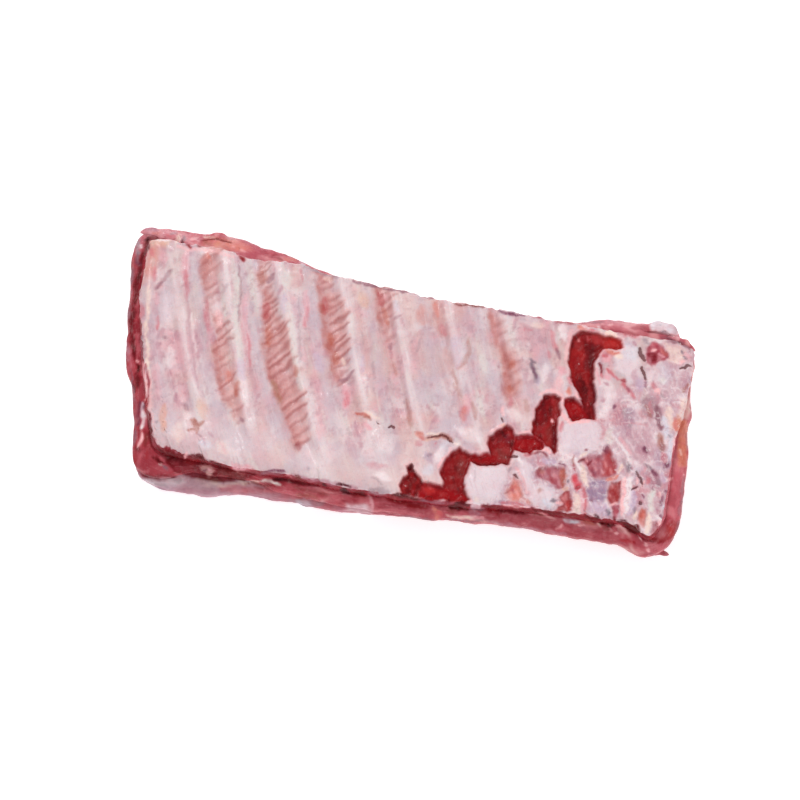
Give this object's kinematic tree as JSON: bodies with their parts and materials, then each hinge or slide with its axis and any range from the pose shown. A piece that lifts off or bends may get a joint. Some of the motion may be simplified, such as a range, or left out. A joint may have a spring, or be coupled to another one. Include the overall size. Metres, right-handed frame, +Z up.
{
  "type": "raw slab of pork back ribs",
  "caption": "Raw slab of pork back ribs lying bone side up, with a stepped cut through the rib ends over lean meat and a fat cover.",
  "frame": {"origin": "centre of the bounding box at the surface the slab rests on", "axes": "+X along the slab towards the stepped cut, +Y towards the back edge, +Z up out of the bone side"},
  "size_m": [0.345, 0.1594, 0.0327],
  "materials": {
    "rib_plate": "moist pale membrane over bone, with striped brownish pink meat between the ribs",
    "lean_meat": "moist dark red raw lean meat",
    "fat_cover": "soft pale pink-white fat with a satin sheen"
  },
  "bodies": {
    "root": {"rib_plate": "rib_plate", "lean_meat": "lean_meat", "fat_cover": "fat_cover"}
  },
  "joints": []
}
